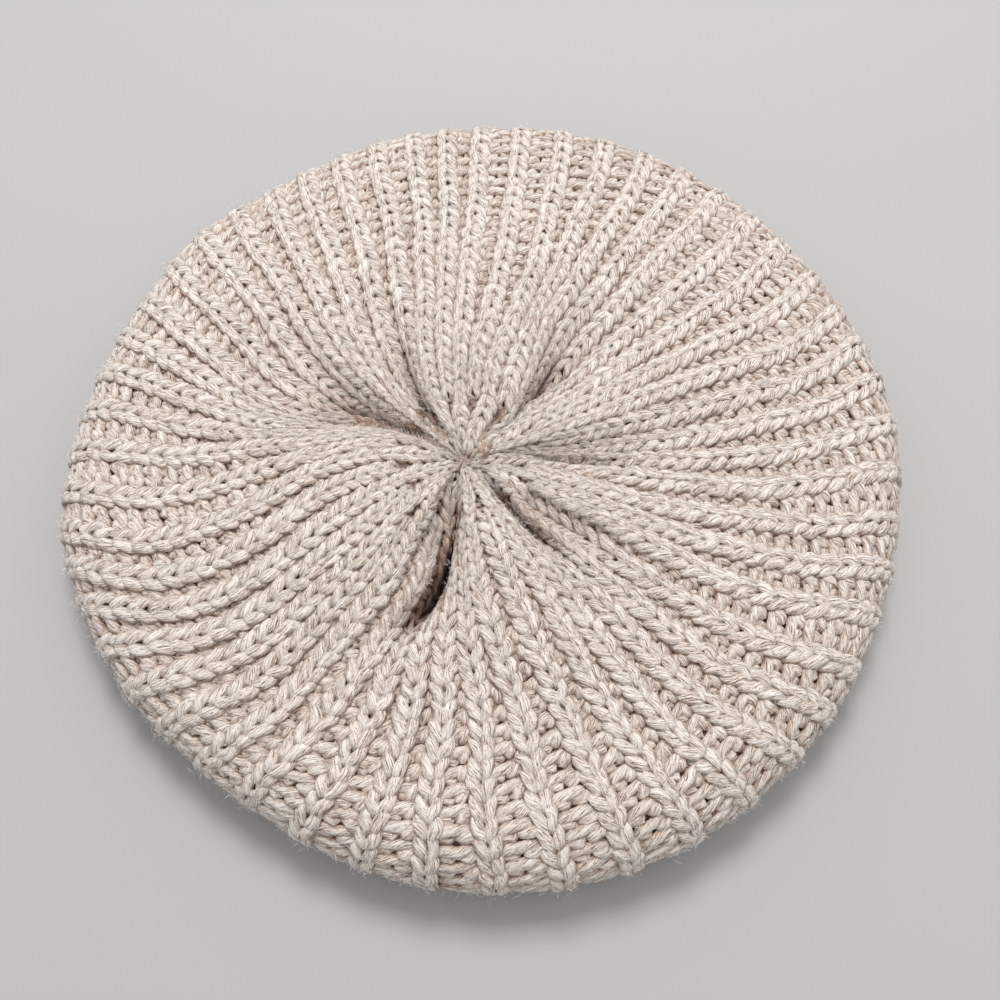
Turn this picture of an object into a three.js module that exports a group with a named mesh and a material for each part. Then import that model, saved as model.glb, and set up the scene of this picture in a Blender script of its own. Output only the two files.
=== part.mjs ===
// Knit beret lying on its head opening. Millimetres, +Z up, origin on the surface under its middle.
// A knitted tube of 52 ribs is drawn to a point on top, where it falls into six lobes with creases
// between them. It spreads into a flat crown, folds round the rim and runs back underneath to a
// ribbed head band. The front of the beret faces -Y.
import * as THREE from "three";

// Driving dimensions
const diameter = 280; // across the rim
const ribCount = 52; // raised knit ribs, with a sunken purl column between each two
const wall = 5; // thickness of the knitted fabric
const ribHeight = 1.4; // how far a rib stands out, and a purl column sinks in
const rimHeight = 15; // where the folded rim is widest
const rimRound = 20; // how far in from the rim its rounding reaches on top
const underRound = 17; // the same underneath
const gatherAt = { x: -8, y: -12, z: 25 }; // the point that the ribs are drawn to
const bandInner = 66; // radius of the head opening
const bandOuter = 92; // radius where the head band meets the crown
const bandThick = 6;
const bandRib = 0.6;
const seamGap = 0.3;
const yarnColor = 0xcbb298;

const toRadians = Math.PI / 180;
const columnCount = 2 * ribCount; // a rib and a purl column by turns

// Shares of the way from the gather to the rim
const foldFull = 0.2; // a fold has its full height from here
const foldLevels = 0.22; // and begins to level out here
const reliefStarts = 0.05; // the ribs begin to stand out here
const reliefFull = 0.5; // and stand out fully from here

// Height of the crown, before its folds, by the share of the way from the gather to the rim
const crownHeights = [
  { share: 0, height: gatherAt.z },
  { share: 0.1, height: 30 },
  { share: 0.22, height: 34 },
  { share: 0.4, height: 36 },
  { share: 0.6, height: 36 },
  { share: 0.8, height: 34 },
  { share: 1, height: 33 },
];

// How each rib runs: its angle about the gather, in degrees, at these shares of the way out
const turnShares = [0.1, 0.2, 0.35, 0.5, 0.65, 0.8];

// One row for each fold line and for the ribs between. rim is the rib's angle at the rim about
// the origin, bulge how far the rim stands out of round there, lift how far the fold rises or
// sinks, and run the share of the way out where it ends.
const foldTable = [
  { rib: 0, rim: -5, bulge: -1, lift: -9, run: 0.5, turn: [0, -2, -7, -8, -7, -4] },
  { rib: 2, rim: 10, bulge: 0, lift: 0, run: 0.6, turn: [4, 3, 4, 5, 7, 9] },
  { rib: 4, rim: 23, bulge: -1, lift: 5, run: 0.8, turn: [12, 14, 17, 19, 20, 21] },
  { rib: 6, rim: 37, bulge: -1, lift: 2, run: 0.8, turn: [26, 30, 32, 33, 34, 35] },
  { rib: 8, rim: 50, bulge: 0, lift: -12, run: 0.6, turn: [34, 45, 48, 48, 49, 49] },
  { rib: 10, rim: 64, bulge: 1, lift: 3, run: 0.8, turn: [37, 49, 59, 60, 61, 61] },
  { rib: 12, rim: 78, bulge: 1, lift: 6, run: 0.8, turn: [66, 72, 71, 71, 73, 74] },
  { rib: 14, rim: 91, bulge: 0, lift: 6, run: 0.8, turn: [93, 92, 90, 89, 88, 88] },
  { rib: 16, rim: 102, bulge: 0, lift: 3, run: 0.7, turn: [112, 109, 104, 101, 99, 99] },
  { rib: 18, rim: 115, bulge: -2, lift: -6, run: 0.6, turn: [124, 123, 120, 116, 113, 112] },
  { rib: 20, rim: 127, bulge: -3, lift: 4, run: 0.7, turn: [142, 142, 137, 131, 127, 125] },
  { rib: 22, rim: 141, bulge: 0, lift: -5, run: 0.8, turn: [149, 151, 149, 145, 140, 138] },
  { rib: 24, rim: 155, bulge: -2, lift: -11, run: 0.9, turn: [151, 153, 159, 160, 156, 153] },
  { rib: 26, rim: 169, bulge: -1, lift: -8, run: 0.8, turn: [153, 156, 165, 169, 167, 165] },
  { rib: 28, rim: 182, bulge: 1, lift: 3, run: 0.7, turn: [160, 166, 175, 178, 180, 179] },
  { rib: 30, rim: 193, bulge: 3, lift: 8, run: 0.8, turn: [182, 186, 191, 197, 198, 196] },
  { rib: 32, rim: 204, bulge: 1, lift: 9, run: 0.8, turn: [208, 212, 213, 215, 214, 210] },
  { rib: 34, rim: 218, bulge: -1, lift: 9, run: 0.8, turn: [229, 232, 232, 229, 227, 223] },
  { rib: 36, rim: 232, bulge: -3, lift: 6, run: 0.7, turn: [243, 245, 244, 241, 239, 237] },
  { rib: 37, rim: 239, bulge: -3, lift: -4, run: 0.6, turn: [247, 250, 251, 250, 247, 244] },
  { rib: 38.5, rim: 251, bulge: -1, lift: -17, run: 0.5, turn: [256, 258, 258, 257, 257, 256] },
  { rib: 40, rim: 263, bulge: 1, lift: -3, run: 0.5, turn: [264, 265, 266, 266, 267, 266] },
  { rib: 42, rim: 279, bulge: 2, lift: 4, run: 0.7, turn: [277, 276, 277, 280, 282, 282] },
  { rib: 43.5, rim: 291, bulge: 2, lift: 5, run: 0.7, turn: [293, 293, 294, 294, 294, 295] },
  { rib: 45, rim: 303, bulge: 1, lift: 2, run: 0.7, turn: [306, 305, 305, 304, 304, 305] },
  { rib: 46.4, rim: 314, bulge: 0, lift: -9, run: 0.5, turn: [318, 315, 313, 313, 313, 315] },
  { rib: 48, rim: 325, bulge: -1, lift: 3, run: 0.6, turn: [327, 323, 323, 323, 324, 326] },
  { rib: 49, rim: 333, bulge: -2, lift: 6, run: 0.7, turn: [334, 330, 331, 331, 332, 334] },
  { rib: 51, rim: 347, bulge: -2, lift: 4, run: 0.6, turn: [347, 344, 343, 344, 346, 348] },
];

const mix = (a, b, share) => a + (b - a) * share;
const wrap = (value, size) => ((value % size) + size) % size;

function ease(from, to, value) {
  const share = THREE.MathUtils.clamp((value - from) / (to - from), 0, 1);
  return share * share * (3 - 2 * share);
}

function hermite(share, gap, start, end, startSlope, endSlope) {
  const square = share * share;
  const cube = square * share;
  return (
    (2 * cube - 3 * square + 1) * start +
    (cube - 2 * square + share) * gap * startSlope +
    (3 * square - 2 * cube) * end +
    (cube - square) * gap * endSlope
  );
}

// A closed curve through one column of the fold table, which never overshoots between two rows
function roundTheTable(column, fullTurn) {
  const rows = foldTable.length;
  const ribAt = (i) => foldTable[wrap(i, rows)].rib + ribCount * Math.floor(i / rows);
  const valueAt = (i) => column(foldTable[wrap(i, rows)]) + fullTurn * Math.floor(i / rows);
  const steepness = (i) => (valueAt(i + 1) - valueAt(i)) / (ribAt(i + 1) - ribAt(i));
  const slopeAt = (i) => {
    const before = steepness(i - 1);
    const after = steepness(i);
    return before * after > 0 ? (2 * before * after) / (before + after) : 0;
  };
  return (rib) => {
    let i = 0;
    while (ribAt(i + 1) <= rib) i += 1;
    const gap = ribAt(i + 1) - ribAt(i);
    const share = (rib - ribAt(i)) / gap;
    return hermite(share, gap, valueAt(i), valueAt(i + 1), slopeAt(i), slopeAt(i + 1));
  };
}

// A smooth curve through a few values at rising places, level beyond its ends
function alongPlaces(places, values, at) {
  const last = places.length - 1;
  if (at <= places[0]) return values[0];
  if (at >= places[last]) return values[last];
  const slopeAt = (i) => {
    if (i === 0) return 0;
    const next = Math.min(i + 1, last);
    return (values[next] - values[i - 1]) / (places[next] - places[i - 1]);
  };
  const i = places.findIndex((place) => place > at) - 1;
  const gap = places[i + 1] - places[i];
  const share = (at - places[i]) / gap;
  return hermite(share, gap, values[i], values[i + 1], slopeAt(i), slopeAt(i + 1));
}

const rimAngleOf = roundTheTable((row) => row.rim, 360);
const bulgeOf = roundTheTable((row) => row.bulge, 0);
const liftOf = roundTheTable((row) => row.lift, 0);
const runOf = roundTheTable((row) => row.run, 0);
const turnsOf = turnShares.map((_, i) => roundTheTable((row) => row.turn[i], 360));

const plainHeight = (share) =>
  alongPlaces(crownHeights.map((row) => row.share), crownHeights.map((row) => row.height), share);

// What one rib needs to be placed: where it meets the rim, and how it turns on its way there
function ribLine(rib) {
  const radius = diameter / 2 + bulgeOf(rib);
  const angle = rimAngleOf(rib) * toRadians;
  const rim = { x: radius * Math.cos(angle), y: radius * Math.sin(angle) };
  const turns = turnsOf.map((turnOf) => turnOf(rib));
  const straight = Math.atan2(rim.y - gatherAt.y, rim.x - gatherAt.x) / toRadians;
  const lastTurn = turns[turns.length - 1];
  turns.push(straight + 360 * Math.round((lastTurn - straight) / 360));
  return { angle, radius, rim, turns, lift: liftOf(rib), run: runOf(rib) };
}

// Distance from the gather to a circle about the origin, in one direction
function reachFrom(direction, radius) {
  const along = gatherAt.x * Math.cos(direction) + gatherAt.y * Math.sin(direction);
  const square = gatherAt.x ** 2 + gatherAt.y ** 2;
  return Math.sqrt(along * along - square + radius * radius) - along;
}

// How far a rib stands out or a purl column sinks in, at a share of the way out
function reliefOf(column, share) {
  const full = column % 2 === 0 ? ribHeight : -ribHeight;
  return full * ease(reliefStarts, reliefFull, share);
}

// A point of the crown's top, at a share of the way from the gather to the rim
function topPoint(line, share) {
  const direction = alongPlaces([...turnShares, 1], line.turns, share) * toRadians;
  const distance = share * reachFrom(direction, line.radius);
  const fold = ease(0, foldFull, share) * (1 - ease(foldLevels, line.run, share));
  return {
    x: gatherAt.x + distance * Math.cos(direction),
    y: gatherAt.y + distance * Math.sin(direction),
    z: plainHeight(share) + line.lift * fold,
  };
}

const reachOf = (line) => Math.hypot(line.rim.x - gatherAt.x, line.rim.y - gatherAt.y);

// A point of the rounded rim, from 90 degrees on top through 0 at the widest to -90 underneath
function rimPoint(line, tilt) {
  const inward = 1 - Math.cos(tilt * toRadians);
  const rise = Math.sin(tilt * toRadians);
  if (tilt >= 0) {
    const point = topPoint(line, 1 - (rimRound * inward) / reachOf(line));
    return { ...point, z: mix(rimHeight, point.z, rise) };
  }
  const radius = line.radius - underRound * inward;
  return {
    x: radius * Math.cos(line.angle),
    y: radius * Math.sin(line.angle),
    z: rimHeight * (1 + rise),
  };
}

// A point of the flat underside, at its own radius
const underPoint = (line, radius, z) => ({
  x: radius * Math.cos(line.angle),
  y: radius * Math.sin(line.angle),
  z,
});

const columnLines = Array.from({ length: columnCount }, (_, i) => ribLine(i / 2));
const topShares = [0.04, 0.08, 0.12, 0.16, 0.2, 0.25, 0.31, 0.38, 0.46, 0.54, 0.62, 0.7, 0.78];
const outerTilts = [90, 65, 45, 22, 0, -22, -45, -65, -90];
const innerTilts = [-90, -45, 0, 45, 90];
const innerShares = [0.78, 0.68, 0.58, 0.48, 0.39, 0.31, 0.23, 0.15, 0.07];

// The outer skin in rings, from the gather out over the rim and in to the head band
function outerRings() {
  const rings = topShares.map((share) =>
    columnLines.map((line, column) => {
      const point = topPoint(line, share);
      return { ...point, z: point.z + reliefOf(column, share) };
    }),
  );
  outerTilts.forEach((tilt) => {
    const fade = ease(-90, -45, tilt);
    rings.push(
      columnLines.map((line, column) => {
        const point = rimPoint(line, tilt);
        const relief = reliefOf(column, 1) * fade;
        const sideways = relief * Math.cos(tilt * toRadians);
        return {
          x: point.x + sideways * Math.cos(line.angle),
          y: point.y + sideways * Math.sin(line.angle),
          z: point.z + relief * Math.sin(tilt * toRadians),
        };
      }),
    );
  });
  rings.push(columnLines.map((line) => underPoint(line, bandOuter + seamGap, 0)));
  return rings;
}

// The lowest that the inner skin hangs under the folds: one wall away from every outer point
function innerHeightFinder() {
  const steps = 45;
  const lastShare = 0.9;
  const near = [];
  for (let step = 0; step <= steps; step += 1) {
    const share = (lastShare * step) / steps;
    columnLines.forEach((line, column) => {
      const point = topPoint(line, share);
      near.push({ ...point, z: point.z + reliefOf(column, share) });
    });
  }
  return (x, y) => {
    let lowest = Infinity;
    near.forEach((point) => {
      const square = (point.x - x) ** 2 + (point.y - y) ** 2;
      if (square < wall * wall) {
        lowest = Math.min(lowest, point.z - Math.sqrt(wall * wall - square));
      }
    });
    return lowest;
  };
}

// The inner skin in rings, from the head band out to the rim and back over to under the gather
function innerRings() {
  const innerHeight = innerHeightFinder();
  const straightPoint = (line, share) => {
    const x = mix(gatherAt.x, line.rim.x, share);
    const y = mix(gatherAt.y, line.rim.y, share);
    return { x, y, z: innerHeight(x, y) };
  };
  const rings = [columnLines.map((line) => underPoint(line, bandOuter + seamGap, wall))];
  innerTilts.forEach((tilt) => {
    const inward = 1 - Math.cos(tilt * toRadians);
    const rise = Math.sin(tilt * toRadians);
    rings.push(
      columnLines.map((line) => {
        if (tilt < 0) {
          const radius = line.radius - wall - (underRound - wall) * inward;
          return underPoint(line, radius, rimHeight + (rimHeight - wall) * rise);
        }
        const crest = straightPoint(line, 1 - rimRound / reachOf(line));
        const depth = wall + (rimRound - wall) * inward;
        const point = straightPoint(line, 1 - depth / reachOf(line));
        return { ...point, z: mix(rimHeight, crest.z, rise) };
      }),
    );
  });
  innerShares.forEach((share) => rings.push(columnLines.map((line) => straightPoint(line, share))));
  return { rings, pole: { ...gatherAt, z: innerHeight(gatherAt.x, gatherAt.y) } };
}

// A closed skin through rings of equal length, each end drawn to a point, or joined end to end
function skin(rings, firstPole, lastPole) {
  const size = rings[0].length;
  const positions = rings.flat().flatMap((point) => [point.x, point.y, point.z]);
  const faces = [];
  const vertex = (ring, column) => (ring % rings.length) * size + (column % size);
  const joins = firstPole ? rings.length - 1 : rings.length;
  for (let ring = 0; ring < joins; ring += 1) {
    for (let column = 0; column < size; column += 1) {
      const a = vertex(ring, column);
      const b = vertex(ring, column + 1);
      const c = vertex(ring + 1, column + 1);
      const d = vertex(ring + 1, column);
      faces.push(a, d, c, a, c, b);
    }
  }
  if (firstPole) {
    const first = positions.length / 3;
    positions.push(firstPole.x, firstPole.y, firstPole.z, lastPole.x, lastPole.y, lastPole.z);
    for (let column = 0; column < size; column += 1) {
      faces.push(first, vertex(0, column), vertex(0, column + 1));
      faces.push(first + 1, vertex(joins, column + 1), vertex(joins, column));
    }
  }
  const geometry = new THREE.BufferGeometry();
  geometry.setAttribute("position", new THREE.Float32BufferAttribute(positions, 3));
  geometry.setIndex(faces);
  geometry.computeVertexNormals();
  return geometry;
}

function crownGeometry() {
  const inner = innerRings();
  return skin([...outerRings(), ...inner.rings], gatherAt, inner.pole);
}

// The head band: a flat ribbed ring, thinner at its rounded inner edge
function bandGeometry() {
  const edgeRound = 2.5; // rounding of the inner edge
  const section = [
    { radius: bandOuter, z: bandThick, relief: 0 },
    { radius: bandOuter, z: 0, relief: 0 },
    { radius: bandInner + edgeRound, z: 0, relief: 0 },
    { radius: bandInner, z: edgeRound, relief: bandRib },
    { radius: bandInner + edgeRound, z: bandThick, relief: bandRib },
  ];
  const rings = section.map((corner) =>
    columnLines.map((line, column) => {
      const relief = column % 2 === 0 ? corner.relief : -corner.relief;
      return underPoint(line, corner.radius - relief, corner.z + (corner.z > edgeRound ? relief : 0));
    }),
  );
  return skin(rings, null, null);
}

const yarn = () => new THREE.MeshStandardMaterial({ color: yarnColor, roughness: 0.95, metalness: 0 });

function named(name, geometry) {
  const mesh = new THREE.Mesh(geometry, yarn());
  mesh.name = name;
  return mesh;
}

const beret = new THREE.Group();
beret.add(named("crown", crownGeometry()), named("head_band", bandGeometry()));
export default beret;
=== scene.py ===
# Knit beret lying on its head opening. Metres, +Z up, its front faces -Y.
# The yarn is modelled course by course, as it is knitted: each course is one closed strand of
# 52 knit and 52 purl loops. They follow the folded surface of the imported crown, with a higher
# gather and deeper creases.
import math
import bpy
import numpy as np
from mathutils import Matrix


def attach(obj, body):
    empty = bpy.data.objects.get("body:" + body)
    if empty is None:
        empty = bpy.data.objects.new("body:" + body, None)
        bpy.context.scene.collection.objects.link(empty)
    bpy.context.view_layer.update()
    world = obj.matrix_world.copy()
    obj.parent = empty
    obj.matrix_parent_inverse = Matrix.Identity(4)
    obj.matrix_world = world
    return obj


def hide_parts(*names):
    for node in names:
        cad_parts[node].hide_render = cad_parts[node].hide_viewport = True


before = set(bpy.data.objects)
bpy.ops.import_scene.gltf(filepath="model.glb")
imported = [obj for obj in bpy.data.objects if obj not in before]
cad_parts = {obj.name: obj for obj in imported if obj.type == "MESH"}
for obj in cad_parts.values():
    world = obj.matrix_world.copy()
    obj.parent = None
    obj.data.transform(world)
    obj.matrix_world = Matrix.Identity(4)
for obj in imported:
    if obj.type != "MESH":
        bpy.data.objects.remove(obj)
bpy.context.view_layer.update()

random = np.random.default_rng(52)
mm = 0.001
tiny = 1e-9                    # keeps a length that is divided by from being nothing

# the beret's shape: its size is the CAD's, and its folds differ by a few millimetres
beret = {
    "ribs": 52,
    "rimRadius": 140 * mm,
    "rimHeight": 15 * mm,      # where the folded rim is widest
    "rimRound": 20 * mm,       # how far in the rounding reaches on top
    "underRound": 17 * mm,     # and underneath
    "gatherX": -8 * mm,        # the point that the ribs are drawn to
    "gatherY": -12 * mm,
    "openingRadius": 66 * mm,
    "bandRadius": 92 * mm,     # where the head band begins
    "foldFull": 0.25,          # shares of the way out: a fold has its full height here
    "foldLevels": 0.22,        # and begins to level out here
}

# height of the crown before its folds, in millimetres, by the share of the way from the gather
# to the rim
crownShares = [0, 0.04, 0.1, 0.22, 0.4, 0.6, 0.8, 1]
crownHeights = [31, 33.5, 34.5, 35, 36, 36, 34, 33]

# how each rib runs: the angle where it meets the rim, how far the rim bulges there and how high
# its fold lifts, in millimetres, the share of the way out where the fold has levelled out, and
# its angles about the gather, at the shares in turnShares
turnShares = [0.1, 0.2, 0.35, 0.5, 0.65, 0.8]
foldColumns = ["rib", "rim", "bulge", "lift", "run", "turn"]
foldRows = [
    (0, -5, -1, -2, 0.5, [0, -2, -7, -8, -7, -4]),
    (2, 10, 0, 0, 0.6, [4, 3, 4, 5, 7, 9]),
    (4, 23, -1, 5, 0.8, [12, 14, 17, 19, 20, 21]),
    (6, 37, -1, 2, 0.8, [26, 30, 32, 33, 34, 35]),
    (8, 50, 0, -9, 0.6, [34, 45, 48, 48, 49, 49]),
    (10, 64, 1, 3, 0.8, [37, 49, 59, 60, 61, 61]),
    (12, 78, 1, 6, 0.8, [66, 72, 71, 71, 73, 74]),
    (14, 91, 0, 6, 0.8, [93, 92, 90, 89, 88, 88]),
    (16, 102, 0, 3, 0.7, [112, 109, 104, 101, 99, 99]),
    (18, 115, -2, -4, 0.6, [124, 123, 120, 116, 113, 112]),
    (20, 127, -3, 4, 0.7, [142, 142, 137, 131, 127, 125]),
    (22, 141, 0, -7, 0.8, [149, 151, 149, 145, 140, 138]),
    (24, 155, -2, -8, 0.9, [151, 153, 159, 160, 156, 153]),
    (26, 169, -1, -3, 0.8, [153, 156, 165, 169, 167, 165]),
    (28, 182, 1, 3, 0.7, [160, 166, 175, 178, 180, 179]),
    (30, 193, 3, 8, 0.8, [182, 186, 191, 197, 198, 196]),
    (32, 204, 1, 9, 0.8, [208, 212, 213, 215, 214, 210]),
    (34, 218, -1, 9, 0.8, [229, 232, 232, 229, 227, 223]),
    (36, 232, -3, 6, 0.7, [243, 245, 244, 241, 239, 237]),
    (37, 239, -3, -4, 0.6, [247, 250, 251, 250, 247, 244]),
    (38.5, 251, -1, -13, 0.5, [256, 258, 258, 257, 257, 256]),
    (40, 263, 1, -3, 0.5, [264, 265, 266, 266, 267, 266]),
    (42, 279, 2, 4, 0.7, [277, 276, 277, 280, 282, 282]),
    (43.5, 291, 2, 5, 0.7, [293, 293, 294, 294, 294, 295]),
    (45, 303, 1, 2, 0.7, [306, 305, 305, 304, 304, 305]),
    (46.4, 314, 0, -5, 0.5, [318, 315, 313, 313, 313, 315]),
    (48, 325, -1, 3, 0.6, [327, 323, 323, 323, 324, 326]),
    (49, 333, -2, 6, 0.7, [334, 330, 331, 331, 332, 334]),
    (51, 347, -2, 4, 0.6, [347, 344, 343, 344, 346, 348]),
]
folds = [dict(zip(foldColumns, row)) for row in foldRows]

# rows of knitting, counted from the gather, where they are tighter
courses = {
    "pitch": 5.5 * mm,         # from one course to the next
    "tightRows": 12,           # rows before they have their full pitch
    "tightLength": 50 * mm,    # and the length that these take
    "firstPitch": 3.5 * mm,    # the pitch at the gather
    "first": 0.9,              # place of the first course
    "slack": 1.03,             # the top's length along its lobes, over the straight way out
    "innermost": 0.08,         # the row that no yarn passes at the gather
    "past": 0.6,               # rows that it may go past the last one
}

# ribs that end on the way in, where two are knitted into one: every second rib, then every
# fourth. Each is gone at the first distance from rib to rib, or the first row, and whole at the
# second. Courses before "from" are knitted without it.
decreases = [
    {"step": 1, "pitches": (2.9 * mm, 3.9 * mm), "rows": (4, 6.5), "from": 4},
    {"step": 2, "pitches": (1.2 * mm, 1.8 * mm), "rows": (1, 2), "from": 1},
]

# creases between the lobes: the rib where each runs at its inner and outer end, its shares of
# the way out, depth, half width in ribs, and how far the lobe before it leans over it, or the
# lobe after it where that is below 0. Depths and leans are in millimetres.
creaseColumns = ["inner", "outer", "from", "to", "depth", "width", "lean"]
creaseRows = [
    (40.0, 37.2, 0.07, 0.58, 18, 1.4, 3.0),
    (8.2, 8.5, 0.01, 0.32, 10, 1.1, 3),
    (17.9, 17.3, 0.06, 0.46, 4, 0.8, 2),
    (22.4, 22.7, 0.05, 0.42, 7, 0.9, -3),
    (46.1, 46.4, 0.06, 0.38, 4.5, 1.3, -2),
    (48.0, 48.0, 0.12, 0.55, 4, 0.8, 0),
    (0.6, 0.6, 0.14, 0.40, 3, 0.8, 0),
]
creases = [dict(zip(creaseColumns, row)) for row in creaseRows]
creaseShape = {
    "opens": 0.25,             # share of its length where a crease has its full depth
    "closes": 0.45,            # and where it begins to fade
    "lobeAway": 1.2,           # ribs from a crease to the bulge of the lobe over it
    "lobeWidth": 1.0,
    "lobeRise": 0.4,           # how far the bulge rises, over how far it leans
    "lowest": 7 * mm,          # no crease comes nearer to the floor
}


def ease(low, high, value):
    share = np.clip((value - low) / (high - low), 0, 1)
    return share * share * (3 - 2 * share)


def hermite(share, gap, start, end, startSlope, endSlope):
    square, cube = share**2, share**3
    rising = 3 * square - 2 * cube
    return (
        (1 - rising) * start
        + rising * end
        + (cube - 2 * square + share) * gap * startSlope
        + (cube - square) * gap * endSlope
    )


# a closed curve through one column of the folds, which never overshoots between two rows
def roundTheFolds(values, fullTurn, ribs):
    count = beret["ribs"]
    places = [row["rib"] for row in folds]
    places = np.array([places[-2] - count, places[-1] - count, *places, count, places[1] + count])
    values = np.array([values[-2] - fullTurn, values[-1] - fullTurn, *values,
                       values[0] + fullTurn, values[1] + fullTurn])
    steep = np.diff(values) / np.diff(places)
    before, after = steep[:-1], steep[1:]
    together = np.where(before * after > 0, before + after, 1)
    slopes = np.where(before * after > 0, 2 * before * after / together, 0)
    slopes = np.concatenate([[0], slopes, [0]])
    turns = np.floor(ribs / count)
    wrapped = ribs - turns * count
    i = np.searchsorted(places, wrapped, side="right") - 1
    gap = places[i + 1] - places[i]
    share = (wrapped - places[i]) / gap
    curve = hermite(share, gap, values[i], values[i + 1], slopes[i], slopes[i + 1])
    return curve + turns * fullTurn


# a smooth curve through values at rising places; values may hold an array for each place
def alongPlaces(places, values, at):
    last = len(places) - 1
    slopes = [np.zeros_like(values[0])]
    for i in range(1, last + 1):
        following = min(i + 1, last)
        slopes.append((values[following] - values[i - 1]) / (places[following] - places[i - 1]))
    at = np.clip(at, places[0], places[-1])
    result = np.zeros_like(at)
    for i in range(last):
        gap = places[i + 1] - places[i]
        inside = (at >= places[i]) & (at <= places[i + 1])
        piece = hermite((at - places[i]) / gap, gap, values[i], values[i + 1], slopes[i], slopes[i + 1])
        result = np.where(inside, piece, result)
    return result


# what the ribs need to be placed, as arrays of one value for each rib asked for
def ribLines(ribs):
    def column(name, fullTurn):
        return roundTheFolds([row[name] for row in folds], fullTurn, ribs)

    radius = beret["rimRadius"] + column("bulge", 0) * mm
    angle = np.radians(column("rim", 360))
    rimX, rimY = radius * np.cos(angle), radius * np.sin(angle)
    turns = [
        roundTheFolds([row["turn"][i] for row in folds], 360, ribs)
        for i in range(len(turnShares))
    ]
    acrossX, acrossY = rimX - beret["gatherX"], rimY - beret["gatherY"]
    straight = np.degrees(np.arctan2(acrossY, acrossX))
    turns.append(straight + 360 * np.round((turns[-1] - straight) / 360))
    return {
        "radius": radius,
        "angle": angle,
        "turns": turns,
        "reach": np.hypot(acrossX, acrossY),
        "lift": column("lift", 0) * mm,
        "run": column("run", 0),
    }


# how much of its height a fold has, by the share of the way out
def foldAt(line, share):
    return ease(0, beret["foldFull"], share) * (1 - ease(beret["foldLevels"], line["run"], share))


def topPoint(line, share):
    direction = np.radians(alongPlaces(turnShares + [1], line["turns"], share))
    gatherX, gatherY = beret["gatherX"], beret["gatherY"]
    along = gatherX * np.cos(direction) + gatherY * np.sin(direction)
    offset = gatherX**2 + gatherY**2
    distance = share * (np.sqrt(along**2 - offset + line["radius"] ** 2) - along)
    plain = alongPlaces(crownShares, [np.full_like(share, h * mm) for h in crownHeights], share)
    return (
        gatherX + distance * np.cos(direction),
        gatherY + distance * np.sin(direction),
        plain + line["lift"] * foldAt(line, share),
    )


# tilt of the rounded rim, from 90 degrees on top to -90 underneath, by the length round it
def rimProfile():
    tilt = np.radians(np.linspace(90, -90, 181))
    crest = crownHeights[-1] * mm - beret["rimHeight"]
    out = np.where(tilt > 0, beret["rimRound"], beret["underRound"]) * np.cos(tilt)
    up = np.where(tilt > 0, crest, beret["rimHeight"]) * np.sin(tilt)
    out = np.where(tilt > 0, out - beret["rimRound"], out - beret["underRound"])
    steps = np.hypot(np.diff(out), np.diff(up))
    length = np.concatenate([[0], np.cumsum(steps)])
    return tilt, length


rimTilts, rimLengths = rimProfile()
underWidth = beret["rimRadius"] - beret["underRound"] - beret["openingRadius"]
meanCrest = (beret["rimRadius"] - beret["rimRound"]) * courses["slack"]


# length from the gather to these rows, and the other way round
def rowLength(rows):
    tight = courses["tightRows"]
    growth = (courses["tightLength"] - courses["firstPitch"] * tight) / tight**2
    inner = courses["firstPitch"] * rows + growth * rows**2
    return np.where(rows < tight, inner, courses["tightLength"] + (rows - tight) * courses["pitch"])


def rowAtLength(length):
    return courses["tightRows"] + (length - courses["tightLength"]) / courses["pitch"]


flatFrom = rowAtLength(meanCrest + rimLengths[-1])   # row where the flat underside begins
lastRow = flatFrom + underWidth / courses["pitch"]
bandRow = lastRow - (beret["bandRadius"] - beret["openingRadius"]) / courses["pitch"]


# how far to the side of a crease each point is, in ribs, the share of its depth that the
# crease has there, and how far it lowers the point
def creaseAt(crease, ribs, share):
    along = np.clip((share - crease["from"]) / (crease["to"] - crease["from"]), 0, 1)
    center = crease["inner"] + (crease["outer"] - crease["inner"]) * along
    away = (ribs - center + beret["ribs"] / 2) % beret["ribs"] - beret["ribs"] / 2
    window = ease(0, creaseShape["opens"], along) * (1 - ease(creaseShape["closes"], 1, along))
    near = np.clip(1 - np.abs(away) / crease["width"], 0, 1)
    return away, window, crease["depth"] * mm * window * ease(0, 1, near)


# points of the top, lowered in the creases and pushed over them by the lobes beside them
def creased(ribs, share, x, y, z):
    outX, outY = x - beret["gatherX"], y - beret["gatherY"]
    reach = np.maximum(np.hypot(outX, outY), tiny)
    sideX, sideY = -outY / reach, outX / reach
    for crease in creases:
        away, window, lowered = creaseAt(crease, ribs, share)
        z = z - lowered
        fromBulge = away + np.sign(crease["lean"]) * creaseShape["lobeAway"]
        lobe = np.exp(-(fromBulge / creaseShape["lobeWidth"]) ** 2)
        x = x + crease["lean"] * mm * window * lobe * sideX
        y = y + crease["lean"] * mm * window * lobe * sideY
        z = z + abs(crease["lean"]) * creaseShape["lobeRise"] * mm * window * lobe
    return x, y, np.maximum(z, creaseShape["lowest"])


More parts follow.
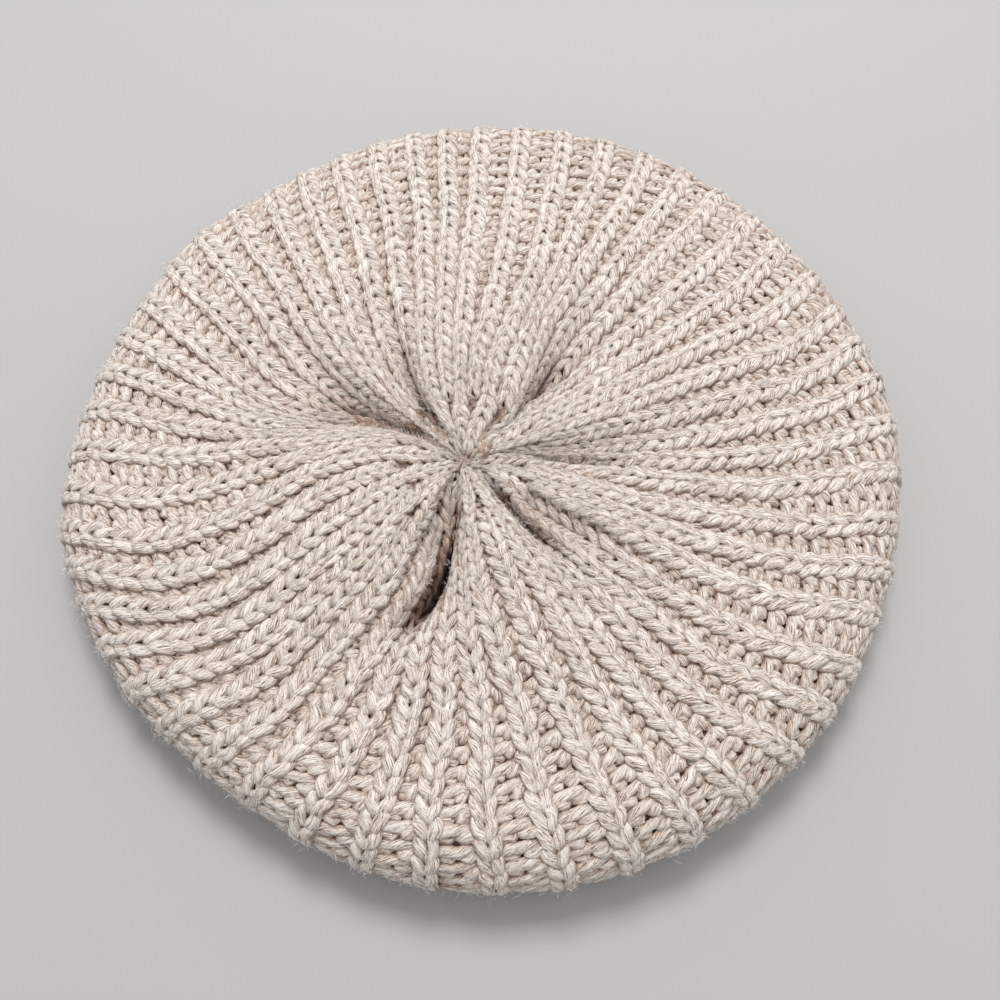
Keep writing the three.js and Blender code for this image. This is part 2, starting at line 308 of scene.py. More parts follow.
# points of the beret's skin at ribs and rows, both arrays of the same form
def skinPoint(ribs, rows):
    line = ribLines(ribs)
    crestShare = 1 - beret["rimRound"] / line["reach"]
    crestLength = line["reach"] * crestShare * courses["slack"]
    pastCrest = rowLength(rows) - crestLength
    tilt = np.interp(pastCrest, rimLengths, rimTilts)
    upper = 1 - beret["rimRound"] * (1 - np.cos(tilt)) / line["reach"]
    onTop = pastCrest < 0
    inner = np.maximum(rowLength(rows), 0) / crestLength * crestShare
    share = np.where(onTop, inner, upper)
    x, y, z = topPoint(line, share)
    x, y, z = creased(ribs, share, x, y, z)
    rise = np.sin(tilt)
    z = np.where(onTop, z, beret["rimHeight"] + (z - beret["rimHeight"]) * rise)
    # the underside's rows are spread evenly between the rim and the head opening
    flatRow = rowAtLength(crestLength + rimLengths[-1])
    inward = np.maximum(rows - flatRow, 0) / (lastRow - flatRow) * underWidth
    radius = line["radius"] - beret["underRound"] * (1 - np.cos(tilt))
    # the bulges of the rim die away towards the round head opening
    evened = ease(0, underWidth, inward)
    flatRadius = radius - inward + (beret["rimRadius"] - line["radius"]) * evened
    under = tilt <= 0
    x = np.where(under, flatRadius * np.cos(line["angle"]), x)
    y = np.where(under, flatRadius * np.sin(line["angle"]), y)
    z = np.where(under, beret["rimHeight"] * (1 + rise), z)
    return np.stack([x, y, z], -1)


# what shelters the yarn from the light, apart from the creases, for the painted shade in its colour
shade = {
    "shallow": 1 * mm,         # a fold that is no deeper gives no shade
    "foldShare": 0.7,          # shade of a fold, over that of a crease of its depth
    "gather": 6 * mm,          # the gather is as dark as a crease of this depth
    "gatherReach": (0.01, 0.035),      # shares of the way out where that fades and has gone
}


# how far down in a crease, a fold or the gather each point of the top lies, which sets the painted
# shade in the yarn's colour there
def shelter(ribs, rows):
    line = ribLines(ribs)
    share = np.maximum(rowLength(rows), 0) / (line["reach"] * courses["slack"])
    depth = np.maximum(-line["lift"] * foldAt(line, share) - shade["shallow"], 0) * shade["foldShare"]
    depth = depth + shade["gather"] * (1 - ease(*shade["gatherReach"], share))
    for crease in creases:
        depth = depth + creaseAt(crease, ribs, share)[2]
    return depth


def unit(vectors):
    return vectors / np.maximum(np.linalg.norm(vectors, axis=-1, keepdims=True), tiny)


# the skin's outward direction, and the distances from one rib and one row to the next, all
# measured over a short step to both sides
def skinFrame(ribs, rows, ribStep=0.3, rowStep=0.4, nearest=0.05):
    rows = np.maximum(rows, rowStep + nearest)
    acrossRibs = (skinPoint(ribs + ribStep, rows) - skinPoint(ribs - ribStep, rows)) / (2 * ribStep)
    alongRib = skinPoint(ribs, rows + rowStep) - skinPoint(ribs, rows - rowStep)
    normal = np.cross(alongRib, acrossRibs)
    length = np.maximum(np.linalg.norm(alongRib, axis=-1), tiny)
    pitch = np.linalg.norm(normal, axis=-1) / length
    return unit(normal), pitch, length / (2 * rowStep)


# one knit loop, bend by bend: millimetres across its column at full width, rows up towards the
# gather, millimetres out of the skin, and the yarn's radius. The twist of the yarn makes the left
# leg slant and the right one stand up.
knitLoop = {
    "halfWidth": 3.75 * mm,
    "rowHeight": 5.5 * mm,
    "pitchShare": 0.47,        # its half width over the distance from rib to rib
    "thinnest": 0.02 * mm,     # its half width where its rib has ended
    "narrowPower": 0.75,       # how its yarn gets thinner in a narrow rib
    "reach": 0.475,            # how far it reaches into the gap beside it, over its half width
    "sink": 0.9 * mm,
    "head": (-0.2, 1.46, -2.9, 1.15),
    "right": [
        (2.30, 1.30, -1.4, 1.22),
        (2.58, 1.00, -0.3, 1.60),
        (2.08, 0.64, 0.50, 1.77),
        (1.24, 0.28, 0.45, 1.68),
        (0.55, 0.00, -0.6, 1.33),
    ],
    "left": [
        (-2.60, 1.26, -1.4, 1.30),
        (-2.45, 0.97, -0.3, 1.63),
        (-1.60, 0.62, 0.50, 1.78),
        (-0.76, 0.28, 0.45, 1.68),
        (-0.16, 0.00, -0.6, 1.35),
    ],
    "rightLink": (3.45, 0.10, -2.5, 1.60),
    "leftLink": (-3.45, 0.45, -2.5, 1.60),
}
# one purl loop: the first number is a share of the gap between two knit columns, the second a
# length added to it, and the others are as above. Its left foot lies flat and its right one climbs.
purlLoop = {
    "smallestGap": 0.2 * mm,
    "sinks": 1.1 * mm,         # how far the purl stitches sink between ribs that are close
    "levels": (1.2 * mm, 4.5 * mm),    # gaps where they have sunk fully and where they are level
    "left": [
        (-0.98, -0.5, 0.10, -1.4, 1.50),
        (-0.30, -0.4, -0.02, -0.9, 1.52),
        (-0.10, -0.2, 0.14, -2.4, 1.40),
        (-0.75, -0.3, 0.90, -2.2, 1.50),
        (-0.90, -0.5, 1.34, -1.3, 1.58),
    ],
    "top": (0.0, 0.0, 1.53, -0.8, 1.65),
    "right": [
        (0.70, 0.4, 1.60, -1.4, 1.55),
        (0.75, 0.2, 1.05, -2.4, 1.50),
        (0.10, 0.2, 0.15, -2.4, 1.40),
        (0.28, 0.4, 0.06, -0.9, 1.50),
        (0.62, 0.5, 0.12, -0.5, 1.60),
        (0.98, 0.6, 0.24, -1.2, 1.52),
    ],
    # how much more its right foot climbs where the gap is narrow
    "climb": [0, 0, 0, 0.06, 0.36, 0.58],
    "climbs": (3.2 * mm, 4.8 * mm),
    "underEnded": 0.42,        # ribs that it moves to the side, under a rib that ends
    "spareRoom": 0.15,         # its room beyond that of the narrower rib beside it
    "narrowPower": 0.5,
}
yarn = {
    "thicker": 1.14,
    "flat": 0.85,              # its height over its width
    "endedSinks": 5 * mm,      # how far the loops of a rib that has ended go under the others
    "level": -0.3 * mm,        # what stands higher out of the skin than this is pressed down
    "pressed": 0.62,
    "thinnest": 0.5 * mm,
    "tightPower": 0.5,         # how it gets thinner where the rows are tight
    "measured": 0.6,           # rows from a loop's middle to where its room is measured
    "measuredFirst": 0.5,      # and the first row where it can be
    "slopeStep": 0.5,          # ribs to both sides over which the slope under it is measured
    "mapShift": 5,             # each course's pattern starts somewhere in this many metres
    "unevenAcross": 0.26 * mm,
    "unevenRows": 0.052,
    "unevenOut": 0.27 * mm,
    "unevenThick": 0.085,
}


# how far each rib still stands: 1 where it is whole, 0 where it has ended
def ribsLeft(ribs, rows, pitch, step):
    left = np.ones_like(ribs)
    for decrease in decreases:
        if decrease["step"] == step:
            ends = np.round(ribs / step) % 2 == 1
            fading = np.minimum(ease(*decrease["pitches"], pitch), ease(*decrease["rows"], rows))
            left = np.where(ends, fading, left)
    return left


# every bend of one course, as an array of ribs for each
def bendArrays(number, step):
    rib = np.arange(0, beret["ribs"], step) + 0.0
    course = number + courses["first"]
    feet = np.full_like(rib, max(course - yarn["measured"], yarn["measuredFirst"]))
    _, knitPitch, height = skinFrame(rib, feet)
    _, purlPitch, _ = skinFrame(rib + 0.5 * step, feet)
    knitPitch, purlPitch = knitPitch * step, purlPitch * step
    left = ribsLeft(rib, feet, knitPitch, step)
    # a whole rib takes the room of the ribs beside it that have ended
    both = 2 - 0.5 * (np.roll(left, 1) + np.roll(left, -1))
    share = np.where(left < 1, left, both)
    halfKnit = knitLoop["pitchShare"] * knitPitch * share
    halfKnit = np.clip(halfKnit, knitLoop["thinnest"], knitLoop["halfWidth"])
    room = halfKnit / knitLoop["halfWidth"]
    tight = np.minimum(1, height / knitLoop["rowHeight"]) ** yarn["tightPower"]
    knit = {
        "rib": rib,
        "pitch": knitPitch / step,
        "room": room,
        "half": halfKnit,
        "thin": np.minimum(room ** knitLoop["narrowPower"], tight),
        "ended": 1 - left,
    }
    following = {key: np.roll(value, -1) for key, value in knit.items()}
    following["rib"] = rib + step
    beside = knitLoop["reach"] * (halfKnit + following["half"])
    gap = np.maximum(0.5 * purlPitch - beside, purlLoop["smallestGap"])
    sunk = purlLoop["sinks"] * (1 - ease(*purlLoop["levels"], gap))
    # a purl loop beside a rib that ends goes in under it
    ended = np.maximum(knit["ended"], following["ended"])
    shift = purlLoop["underEnded"] * step * (following["ended"] - knit["ended"])
    purlRoom = np.minimum(1, np.minimum(room, following["room"]) + purlLoop["spareRoom"])
    purlThin = np.minimum(purlRoom ** purlLoop["narrowPower"], tight)
    bends = []

    def uneven(name):
        return random.normal(0, yarn[name], len(rib))

    def add(place, up, out, radius):
        bend = {"rib": place}
        bend["row"] = course - up - uneven("unevenRows")
        bend["out"] = out - knitLoop["sink"] + uneven("unevenOut")
        radius = radius * (yarn["thicker"] + uneven("unevenThick"))
        bend["radius"] = np.maximum(radius, yarn["thinnest"])
        bends.append(bend)

    def addKnit(column, bend):
        across, up, out, radius = bend
        wander = across * mm + uneven("unevenAcross")
        place = column["rib"] + wander * column["room"] / column["pitch"]
        depth = out * mm * column["room"] - yarn["endedSinks"] * column["ended"]
        add(place, up, depth, radius * mm * column["thin"])

    def addPurl(bend, climb=0):
        share, length, up, out, radius = bend
        # the added length fades as the gap closes, from one millimetre down
        across = gap * share + length * mm * np.minimum(1, gap / mm) + uneven("unevenAcross")
        place = rib + 0.5 * step + shift + across / (purlPitch / step)
        depth = out * mm - sunk - yarn["endedSinks"] * ended
        up = up + climb * (1 - ease(*purlLoop["climbs"], gap))
        add(place, up, depth, radius * mm * purlThin)

    addKnit(knit, knitLoop["head"])
    for bend in knitLoop["right"] + [knitLoop["rightLink"]]:
        addKnit(knit, bend)
    for bend in purlLoop["left"] + [purlLoop["top"]]:
        addPurl(bend)
    for bend, climb in zip(purlLoop["right"], purlLoop["climb"]):
        addPurl(bend, climb)
    for bend in [knitLoop["leftLink"]] + knitLoop["left"][::-1]:
        addKnit(following, bend)
    return bends


# steps of the strand from each bend to the next, over one knit and one purl loop
stepsPerRib = [1, 1, 2, 2, 1, 1, 1, 1, 1, 1, 1, 2, 2, 1, 1, 1, 2, 1, 1, 1, 1, 2, 2, 1, 1]


# a smooth closed strand through the bends, with a point halfway between some of them, on the
# cubic curve through the four bends around it
def strandLine(bends, key, fine):
    closed = np.stack([bend[key] for bend in bends], -1).ravel()
    if not fine:
        return closed
    fullTurn = beret["ribs"] if key == "rib" else 0
    before, after, afterNext = np.roll(closed, 1), np.roll(closed, -1), np.roll(closed, -2)
    before[0] -= fullTurn
    after[-1] += fullTurn
    afterNext[-2:] += fullTurn
    middle = (-before + 9 * closed + 9 * after - afterNext) / 16
    halved = np.resize(np.array(stepsPerRib) == 2, len(closed))
    kept = np.stack([np.ones_like(halved), halved], -1)
    return np.stack([closed, middle], -1)[kept]


# each course as the points of its strand, their radii, the way out of the knit there, how far
# out they are and how far down in a fold, a crease or the gather, for the painted shade
def strands(firstCourse, nextCourse, fine):
    made = []
    for course in range(firstCourse, nextCourse):
        step = 1
        for decrease in decreases:
            if course < decrease["from"]:
                step = 2 * decrease["step"]
        bends = bendArrays(course, step)
        rib, row, out, radius = (strandLine(bends, key, fine) for key in bends[0])
        row = np.clip(row, courses["innermost"], lastRow + courses["past"])
        normal, _, _ = skinFrame(rib, row, ribStep=yarn["slopeStep"])
        point = skinPoint(rib, row) + normal * out[:, None]
        # flattened where it rests
        point[:, 2] = np.maximum(point[:, 2], radius)
        made.append((point, radius, normal, out, -shelter(rib, row)))
    return made


def addToScene(name, data):
    piece = bpy.data.objects.new(name, data)
    bpy.context.scene.collection.objects.link(piece)
    return piece


def selectOnly(pieces):
    bpy.ops.object.select_all(action="DESELECT")
    for piece in pieces:
        piece.select_set(True)
    bpy.context.view_layer.objects.active = pieces[0]


# one course as a bevelled curve, turned into a mesh whose map holds the length along the yarn
# and whose yarn is pressed flat; "height" holds how far out of the skin each point is, "fold"
# how far down in a fold, a crease or the gather, and "upward" is 1 on top of the yarn and 0 at its
# sides. All three set the painted shade in the yarn's colour
def courseMesh(name, strand, roundness):
    points, radii, normals, outs, folded = strand
    curve = bpy.data.curves.new(name, "CURVE")
    curve.dimensions = "3D"
    curve.bevel_depth = mm
    curve.bevel_resolution = roundness
    curve.twist_mode = "MINIMUM"
    spline = curve.splines.new("POLY")
    spline.points.add(len(points) - 1)
    spline.points.foreach_set("co", np.column_stack([points, np.ones(len(points))]).ravel())
    spline.points.foreach_set("radius", radii / mm)
    spline.use_cyclic_u = True
    spline.use_smooth = True
    piece = addToScene(name, curve)
    selectOnly([piece])
    bpy.ops.object.convert(target="MESH")
    piece = bpy.context.view_layer.objects.active
    steps = np.linalg.norm(np.roll(points, -1, 0) - points, axis=1)
    lengths = np.concatenate([[0], np.cumsum(steps)])
    layer = piece.data.uv_layers[0]
    layer.name = "yarnMap"
    corners = np.zeros(len(piece.data.loops) * 2)
    layer.data.foreach_get("uv", corners)
    place = np.round(corners[0::2] * len(points)).astype(int)
    corners[0::2] = lengths[place] + random.uniform(0, yarn["mapShift"])
    layer.data.foreach_set("uv", corners)
    verts = np.zeros(len(piece.data.vertices) * 3)
    piece.data.vertices.foreach_get("co", verts)
    verts = verts.reshape(-1, 3)
    ring = len(verts) // len(points)
    middle, normal, out = (np.repeat(value, ring, axis=0) for value in (points, normals, outs))
    rise = ((verts - middle) * normal).sum(1)
    height = out + rise * yarn["flat"]
    height -= np.maximum(height - yarn["level"], 0) * yarn["pressed"]
    verts += normal * (height - out - rise)[:, None]
    verts[:, 2] = np.maximum(verts[:, 2], 0)
    piece.data.vertices.foreach_set("co", verts.ravel())
    fields = {
        "height": height,
        "upward": rise / np.repeat(radii, ring),
        "fold": np.repeat(folded, ring),
    }
    for field, values in fields.items():
        piece.data.attributes.new(field, "FLOAT", "POINT").data.foreach_set("value", values)
    return piece


def knitPiece(name, firstCourse, nextCourse, fine, material, cadNode):
    lines = strands(firstCourse, nextCourse, fine)
    made = [courseMesh(f"{name}_course", strand, int(fine)) for strand in lines]
    selectOnly(made)
    bpy.ops.object.join()
    piece = bpy.context.view_layer.objects.active
    piece.name = name
    piece.data.name = name
    finishPiece(piece, material, cadNode)
    print("knitted", name, len(piece.data.polygons) * 2, "triangles")
    return lines


def finishPiece(piece, material, cadNode):
    piece.data.materials.append(material)
    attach(piece, "root")
    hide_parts(cadNode)


# the ground of the knit, under its loops of yarn
ground = {
    "depth": 3.9 * mm,
    "thickness": 0.6 * mm,
    "columns": 104,
    "rows": 50,
    "firstRow": 0.3,
    "slopeStep": 0.8,          # ribs to both sides over which its slope is measured
}


def groundPiece(name, fromRow, toRow, material, cadNode):
    ribs = np.linspace(0, beret["ribs"], ground["columns"], endpoint=False)
    rows = np.linspace(fromRow, toRow, ground["rows"])
    ribGrid, rowGrid = np.meshgrid(ribs, rows)
    normal, _, _ = skinFrame(ribGrid, rowGrid, ribStep=ground["slopeStep"])
    points = skinPoint(ribGrid, rowGrid) - normal * ground["depth"]
    width = ground["columns"]
    faces = []
    for i in range(ground["rows"] - 1):
        for j in range(width):
            right = (j + 1) % width
            near, far = i * width, (i + 1) * width
            faces.append((near + j, far + j, far + right, near + right))
    faces.append(tuple(range(width)))
    data = bpy.data.meshes.new(name)
    data.from_pydata(points.reshape(-1, 3).tolist(), [], faces)
    piece = addToScene(name, data)
    selectOnly([piece])
    solid = piece.modifiers.new("thickness", "SOLIDIFY")
    solid.thickness = ground["thickness"]
    bpy.ops.object.modifier_apply(modifier=solid.name)
    bpy.ops.object.shade_smooth()
    finishPiece(piece, material, cadNode)
    print("made", name)


# fine fibres on the yarn, each a bent spindle
fuzz = {
    "top": 25000,
    "rim": 20000,
    "shortest": 1.2 * mm,
    "longest": 4.2 * mm,
    "thinnest": 0.05 * mm,
    "thickest": 0.11 * mm,
    "mostShort": 1.6,          # the larger, the more of them are short
    "topLowest": 22 * mm,      # heights that none starts below, on the top and at the rim
    "rimLowest": 0,
    "buried": -2.2 * mm,       # none starts on yarn that lies deeper in the knit
    "folded": -2.5 * mm,       # or deeper down in a fold
    "pressed": -0.8 * mm,      # yarn that stands higher out of the skin is pressed flat
    "onPressed": 0.62,         # where a fibre starts there, over the yarn's radius
    "onRound": 0.8,            # and elsewhere
    "turn": 1.1,               # radians to both sides of straight out
    "lying": 0.65,             # share of the fibres that lie along the yarn
    "standingLength": 0.75,    # length and width of one that stands, over one that lies
    "standingWidth": 0.6,
    # how far its middle lies out, along and aside of its start, and its tip of its middle, over
    # its length
    "middle": {"outLying": 0.10, "outStanding": 0.30, "along": 0.42, "aside": 0.16},
    "tip": {"outLying": -0.04, "outStanding": 0.2, "along": 0.30, "aside": 0.34},
    "clearance": 0.05 * mm,    # between the floor and the fibres that would go through it
}
spindleFaces = [(0, 2, 1), (0, 3, 2), (0, 1, 3), (1, 2, 4), (2, 3, 4), (3, 1, 4)]


def fuzzPiece(name, lines, count, lowest, material, cadNode):
    points, radii, outward, outs, folded = (np.concatenate(values) for values in zip(*lines))
    ahead = np.concatenate([np.roll(line[0], -1, 0) for line in lines])
    behind = np.concatenate([np.roll(line[0], 1, 0) for line in lines])
    # spread evenly over the yarn, but not down in the creases
    spacing = np.linalg.norm(ahead - points, axis=1)
    hidden = (outs < fuzz["buried"]) | (folded < fuzz["folded"]) | (points[:, 2] < lowest)
    spacing[hidden] = 0
    chosen = random.choice(len(points), count, p=spacing * radii / np.sum(spacing * radii))
    tangent, out = unit(ahead - behind)[chosen], outward[chosen]
    offset = np.where(outs[chosen] > fuzz["pressed"], fuzz["onPressed"], fuzz["onRound"])[:, None]
    side = unit(np.cross(tangent, out))
    turn = random.uniform(-fuzz["turn"], fuzz["turn"], (count, 1))
    lead = unit(out * np.cos(turn) + side * np.sin(turn))
    sway = unit(random.normal(0, 1, (count, 3)))
    longer = random.random((count, 1)) ** fuzz["mostShort"]
    length = fuzz["shortest"] + (fuzz["longest"] - fuzz["shortest"]) * longer
    lying = random.random((count, 1)) < fuzz["lying"]
    length = np.where(lying, length, length * fuzz["standingLength"])
    swing = np.sign(random.normal(0, 1, (count, 1)))

    def onward(start, bend):
        rise = np.where(lying, bend["outLying"], bend["outStanding"])
        return start + length * (rise * lead + bend["along"] * tangent * swing + bend["aside"] * sway)

    base = points[chosen] + lead * radii[chosen, None] * offset
    middle = onward(base, fuzz["middle"])
    tip = onward(middle, fuzz["tip"])
    width = random.uniform(fuzz["thinnest"], fuzz["thickest"], (count, 1))
    width = width * np.where(lying, 1, fuzz["standingWidth"])
    first = unit(np.cross(tip - base, sway))
    second = unit(np.cross(tip - base, first))
    rings = [base]
    for k in range(3):
        angle = 2 * math.pi * k / 3
        rings.append(middle + (first * math.cos(angle) + second * math.sin(angle)) * width)
    rings.append(tip)
    verts = np.stack(rings, 1).reshape(-1, 3)
    verts[:, 2] = np.maximum(verts[:, 2], fuzz["clearance"])
    firstVerts = len(rings) * np.arange(count)
    faces = (np.array(spindleFaces)[None] + firstVerts[:, None, None]).reshape(-1, 3)
    data = bpy.data.meshes.new(name)
    data.vertices.add(len(verts))
    data.vertices.foreach_set("co", verts.ravel())
    data.loops.add(faces.size)
    data.loops.foreach_set("vertex_index", faces.ravel())
    data.polygons.add(len(faces))
    data.polygons.foreach_set("loop_start", np.arange(0, faces.size, 3))
    data.update(calc_edges=True)
    piece = addToScene(name, data)
    finishPiece(piece, material, cadNode)
    print("brushed up", name, len(faces), "triangles")


# finish of the yarn: heathered oatmeal wool, three plies with a soft twist
wool = {
    "roughness": 0.9,
    "gloss": 0.2,
    "sheen": 0.3,
    "sheenRoughness": 0.5,
    "turn": 24 * mm,           # length of yarn in one turn of its plies
    "plies": 3,
    "plyEdge": 0.4,            # how narrow the grooves between the plies are
    # fibres round the yarn, length of one, detail and waviness. The loose ones give the thin
    # dark lines between them, and the patches are lighter and darker stretches of yarn.
    "fibres": {
        "fine": (42, 3.5 * mm, 3, 0.6),
        "loose": (25.2, 4.55 * mm, 1, 1.2),
        "coarse": (14.7, 7 * mm, 1, 0),
        "patch": (2, 9 * mm, 1, 0),
    },
    "fibreRoughness": 0.6,
    "lineWidth": 0.07,         # width of the thin dark lines
    "matted": 0.50 * mm,       # size of the matted specks all over the yarn
    "mattedDetail": 3,
    "mattedWavy": 1.2,
    # how much each pattern adds to the shade, and to the height of the bumps
    "inShade": {
        "fine": 1.75, "coarse": 0.14, "patch": 0.14, "groove": 0.06, "line": -0.36, "matted": 0.35,
    },
    "shadeStart": -0.625,
    "inBumps": {"fine": 1, "coarse": 0.6, "groove": 0.5, "matted": 0.25},
    "bumpHeight": 0.7 * mm,
    # places along the ramp of shades, and their colours
    "shades": [
        (0.24, (0.20, 0.11, 0.07, 1)),
        (0.36, (0.57, 0.43, 0.34, 1)),
        (0.46, (0.82, 0.71, 0.61, 1)),
        (0.60, (0.93, 0.85, 0.775, 1)),
        (0.78, (0.98, 0.93, 0.87, 1)),
    ],
    # painted shade: attribute, its values where the painted shade is full and where it is gone, and its
    # colour,
    # browner and darker where shade falls: where the yarn lies deep in the knit, towards its sides, and
    # down in the folds, the creases and the gather
    "paintedShade": [
        ("height", (-3.6 * mm, -0.3 * mm), (0.75, 0.62, 0.52, 1)),
        ("height", (-5.2 * mm, -3 * mm), (0.45, 0.43, 0.44, 1)),
        ("upward", (0.10, 0.70), (0.82, 0.70, 0.61, 1)),
        ("fold", (-10 * mm, -2 * mm), (0.66, 0.49, 0.41, 1)),
        ("fold", (-18 * mm, -9 * mm), (0.30, 0.26, 0.25, 1)),
    ],
}


def node(tree, kind, **values):
    made = tree.nodes.new(kind)
    for name, value in values.items():
        setattr(made, name, value)
    return made


def mathNode(tree, operation, first, second=None):
    made = node(tree, "ShaderNodeMath", operation=operation)
    for i, value in enumerate([first, second]):
        if value is None:
            continue
        if isinstance(value, (int, float)):
            made.inputs[i].default_value = value
        else:
            tree.links.new(value, made.inputs[i])
    return made.outputs[0]


# a noise that makes a pattern of its own scale, with its place still to be linked
def noiseNode(tree, scale, detail, wavy, roughness=0.5):
    noise = node(tree, "ShaderNodeTexNoise")
    noise.inputs["Scale"].default_value = scale
    noise.inputs["Detail"].default_value = detail
    noise.inputs["Roughness"].default_value = roughness
    noise.inputs["Distortion"].default_value = wavy
    return noise


# the patterns of the yarn, each a number all over it
def yarnPatterns(tree):
    link = tree.links.new
    yarnMap = node(tree, "ShaderNodeUVMap", uv_map="yarnMap")
    parts = node(tree, "ShaderNodeSeparateXYZ")
    link(yarnMap.outputs[0], parts.inputs[0])
    along, around = parts.outputs[0], parts.outputs[1]
    twist = mathNode(tree, "MULTIPLY", along, 2 * math.pi / wool["turn"])
    angle = mathNode(tree, "ADD", mathNode(tree, "MULTIPLY", around, 2 * math.pi), twist)
    patterns = {}
    for name, (count, length, detail, wavy) in wool["fibres"].items():
        reach = count / (2 * math.pi)
        place = node(tree, "ShaderNodeCombineXYZ")
        link(mathNode(tree, "MULTIPLY", mathNode(tree, "COSINE", angle), reach), place.inputs[0])
        link(mathNode(tree, "MULTIPLY", mathNode(tree, "SINE", angle), reach), place.inputs[1])
        link(mathNode(tree, "MULTIPLY", along, 1 / length), place.inputs[2])
        noise = noiseNode(tree, 1, detail, wavy, wool["fibreRoughness"])
        link(place.outputs[0], noise.inputs["Vector"])
        patterns[name] = noise.outputs["Fac"]

    plyAngle = mathNode(tree, "MULTIPLY", angle, wool["plies"] / 2)
    plies = mathNode(tree, "ABSOLUTE", mathNode(tree, "COSINE", plyAngle))
    patterns["groove"] = mathNode(tree, "POWER", plies, wool["plyEdge"])

    # thin lines where the noise of the loose fibres passes through its middle
    apart = mathNode(tree, "ABSOLUTE", mathNode(tree, "SUBTRACT", patterns["loose"], 0.5))
    line = mathNode(tree, "SUBTRACT", 1, mathNode(tree, "DIVIDE", apart, wool["lineWidth"]))
    patterns["line"] = mathNode(tree, "MAXIMUM", line, 0)

    place = node(tree, "ShaderNodeTexCoord")
    matted = noiseNode(tree, 1 / wool["matted"], wool["mattedDetail"], wool["mattedWavy"])
    link(place.outputs["Object"], matted.inputs["Vector"])
    patterns["matted"] = matted.outputs["Fac"]
    return patterns


# the sum of some patterns, each times its own number
def mixPatterns(tree, patterns, amounts, start):
    total = start
    for name, amount in amounts.items():
        total = mathNode(tree, "ADD", mathNode(tree, "MULTIPLY", patterns[name], amount), total)
    return total


def yarnMaterial(name):
    material = bpy.data.materials.new(name)
    material.use_nodes = True
    tree = material.node_tree
    link = tree.links.new
    shader = tree.nodes["Principled BSDF"]
    shader.inputs["Roughness"].default_value = wool["roughness"]
    shader.inputs["Specular IOR Level"].default_value = wool["gloss"]
    shader.inputs["Sheen Weight"].default_value = wool["sheen"]
    shader.inputs["Sheen Roughness"].default_value = wool["sheenRoughness"]
    patterns = yarnPatterns(tree)
    tone = node(tree, "ShaderNodeValToRGB")
    ramp = tone.color_ramp
    for i, (position, color) in enumerate(wool["shades"]):
        stop = ramp.elements[i] if i < 2 else ramp.elements.new(position)
        stop.position, stop.color = position, color
    link(mixPatterns(tree, patterns, wool["inShade"], wool["shadeStart"]), tone.inputs[0])
    color = tone.outputs[0]
    # painted shade: each attribute darkens and browns the colour where the yarn lies deep, at its sides
    # and down in the folds and creases
    for attribute, reach, shadeColor in wool["paintedShade"]:
        place = node(tree, "ShaderNodeAttribute", attribute_name=attribute)
        share = node(tree, "ShaderNodeMapRange")
        for i, value in enumerate([*reach, 1, 0]):
            share.inputs[i + 1].default_value = value
        link(place.outputs["Fac"], share.inputs[0])
        shaded = node(tree, "ShaderNodeMix", data_type="RGBA", blend_type="MULTIPLY")
        link(share.outputs[0], shaded.inputs["Factor"])
        link(color, shaded.inputs["A"])
        shaded.inputs["B"].default_value = shadeColor
        color = shaded.outputs["Result"]
    link(color, shader.inputs["Base Color"])
    bump = node(tree, "ShaderNodeBump")
    bump.inputs["Strength"].default_value = 1
    bump.inputs["Distance"].default_value = wool["bumpHeight"]
    link(mixPatterns(tree, patterns, wool["inBumps"], 0), bump.inputs["Height"])
    link(bump.outputs[0], shader.inputs["Normal"])
    return material


# finish of the wool without a twist: colour and roughness of the ground and of the fuzz. The ground's
# dark brown is painted shade, the shade deep down under the loops
plainFinish = {
    # painted shade: the ground is dark brown so that it reads as the shade between and under the loops
    "ground": ((0.36, 0.28, 0.23, 1), 0.95),
    "fuzz": ((0.93, 0.85, 0.77, 1), 0.7),
    "sheen": 0.3,
    "darker": 0.7,             # its dark patches, over its colour
    "patches": 400,            # of them in a metre
}


def plainWool(name, color, roughness):
    material = bpy.data.materials.new(name)
    material.use_nodes = True
    tree = material.node_tree
    shader = tree.nodes["Principled BSDF"]
    shader.inputs["Roughness"].default_value = roughness
    shader.inputs["Sheen Weight"].default_value = plainFinish["sheen"]
    place = node(tree, "ShaderNodeTexCoord")
    patch = node(tree, "ShaderNodeTexNoise")
    patch.inputs["Scale"].default_value = plainFinish["patches"]
    tree.links.new(place.outputs["Object"], patch.inputs["Vector"])
    tone = node(tree, "ShaderNodeMix", data_type="RGBA")
    tone.inputs["A"].default_value = color
    tone.inputs["B"].default_value = tuple(c * plainFinish["darker"] for c in color[:3]) + (1,)
    tree.links.new(patch.outputs["Fac"], tone.inputs["Factor"])
    tree.links.new(tone.outputs["Result"], shader.inputs["Base Color"])
    return material


# camera, as the photograph was taken
view = {
    "target": (0.004, -0.0116, 0),
    "distance": 0.352,
    "elevation": 65.3,
    "lens": 36.1,
    "nearest": 0.01,           # what is closer to it isn't shown
}


def makeCamera():
    tilt = math.radians(view["elevation"])
    x, y, z = view["target"]
    place = (x, y - view["distance"] * math.cos(tilt), z + view["distance"] * math.sin(tilt))
    bpy.ops.object.camera_add(location=place, rotation=(math.pi / 2 - tilt, 0, 0))
    camera = bpy.context.object
    camera.data.lens = view["lens"]
    camera.data.clip_start = view["nearest"]
    bpy.context.scene.camera = camera


studio = {
    "floorSize": 12,
    "floor": (0.40, 0.395, 0.385, 1),
    "floorRoughness": 0.8,
    "sky": (0.97, 0.98, 1.0, 1),
    "skyStrength": 0.69,
    # name, place, size and power. They are aimed at the beret.
    "lamps": [
        ("window", (0.0, 0.50, 1.2), 0.40, 12.5),
        ("fill", (0.5, 0.1, 1.2), 1.0, 2.5),
    ],
}


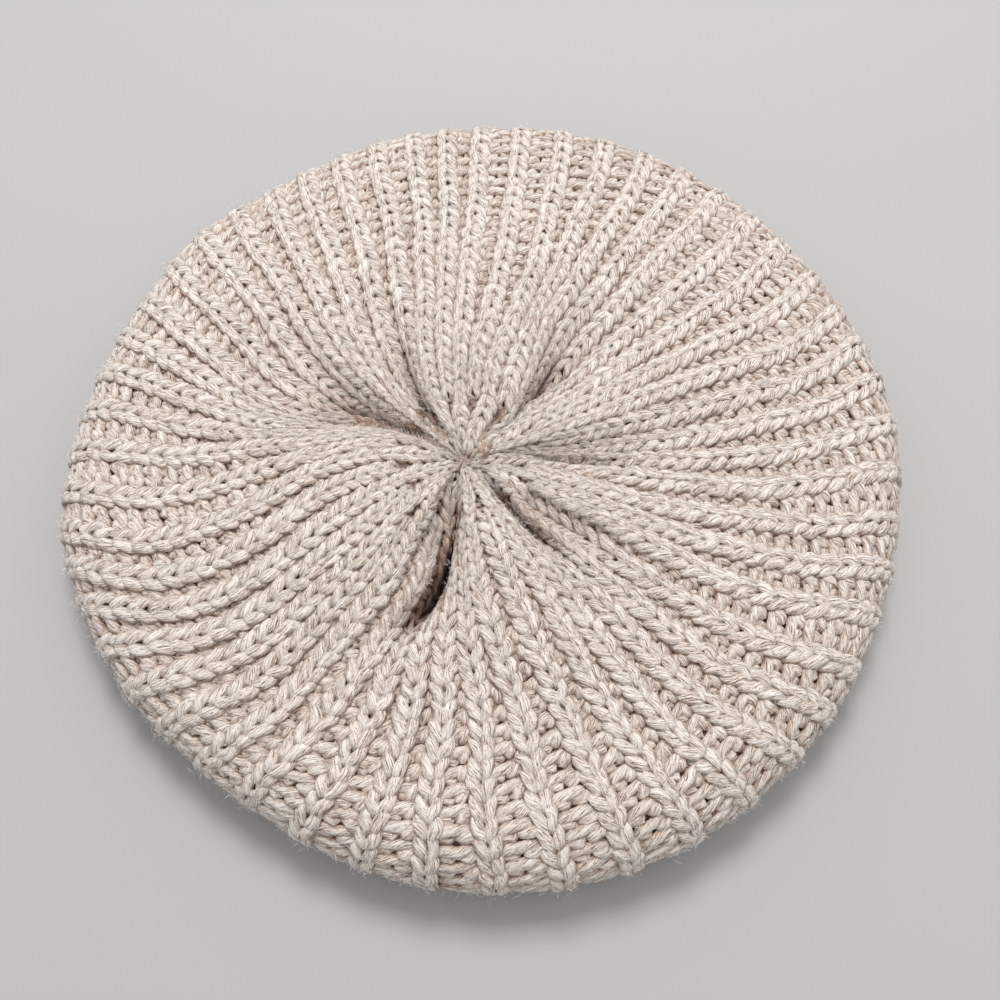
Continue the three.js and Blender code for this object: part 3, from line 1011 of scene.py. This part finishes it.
def makeStudio():
    bpy.ops.mesh.primitive_plane_add(size=studio["floorSize"], location=(0, 0, 0))
    floor = bpy.context.object
    floor.name = "floor"
    material = bpy.data.materials.new("pale_floor")
    material.use_nodes = True
    shader = material.node_tree.nodes["Principled BSDF"]
    shader.inputs["Base Color"].default_value = studio["floor"]
    shader.inputs["Roughness"].default_value = studio["floorRoughness"]
    floor.data.materials.append(material)
    for name, place, size, power in studio["lamps"]:
        bpy.ops.object.light_add(type="AREA", location=place)
        lamp = bpy.context.object
        lamp.name = name
        lamp.data.size = size
        lamp.data.energy = power
        aim = -lamp.location
        lamp.rotation_euler = aim.to_track_quat("-Z", "Y").to_euler()
    world = bpy.context.scene.world or bpy.data.worlds.new("world")
    bpy.context.scene.world = world
    world.use_nodes = True
    sky = world.node_tree.nodes["Background"]
    sky.inputs["Color"].default_value = studio["sky"]
    sky.inputs["Strength"].default_value = studio["skyStrength"]
    bpy.context.scene.view_settings.view_transform = "Standard"


makeCamera()
makeStudio()
print("camera and studio are set")

oatmealYarn = yarnMaterial("oatmeal_yarn")
groundShadeWool = plainWool("ground_shade_wool", *plainFinish["ground"])
fuzzWool = plainWool("fuzz_wool", *plainFinish["fuzz"])
print("yarn and wool are mixed")

bandCourse = int(round(bandRow - courses["first"]))
lastCourse = int(math.floor(lastRow - courses["first"]))
print("courses to the band", bandCourse, "in all", lastCourse)

# first course of each piece and of the next, whether its yarn is finely made, and the CAD node
# that it replaces
sections = {
    "crown_top": (0, 10, True, "crown"),
    "crown_middle": (10, 18, True, "crown"),
    "crown_rim": (18, 26, True, "crown"),
    "crown_edge": (26, 30, True, "crown"),
    "crown_under": (30, bandCourse, False, "crown"),
    "band_yarn": (bandCourse, lastCourse, False, "head_band"),
}
knitted = {}
for name, (firstCourse, nextCourse, fine, cadNode) in sections.items():
    knitted[name] = knitPiece(name, firstCourse, nextCourse, fine, oatmealYarn, cadNode)
# the ground, in the dark brown of painted shade
groundPiece("crown_ground", ground["firstRow"], bandRow, groundShadeWool, "crown")
topLines = knitted["crown_top"] + knitted["crown_middle"]
fuzzPiece("crown_fuzz", topLines, fuzz["top"], fuzz["topLowest"], fuzzWool, "crown")
rimLines = knitted["crown_rim"] + knitted["crown_edge"]
fuzzPiece("rim_fuzz", rimLines, fuzz["rim"], fuzz["rimLowest"], fuzzWool, "crown")
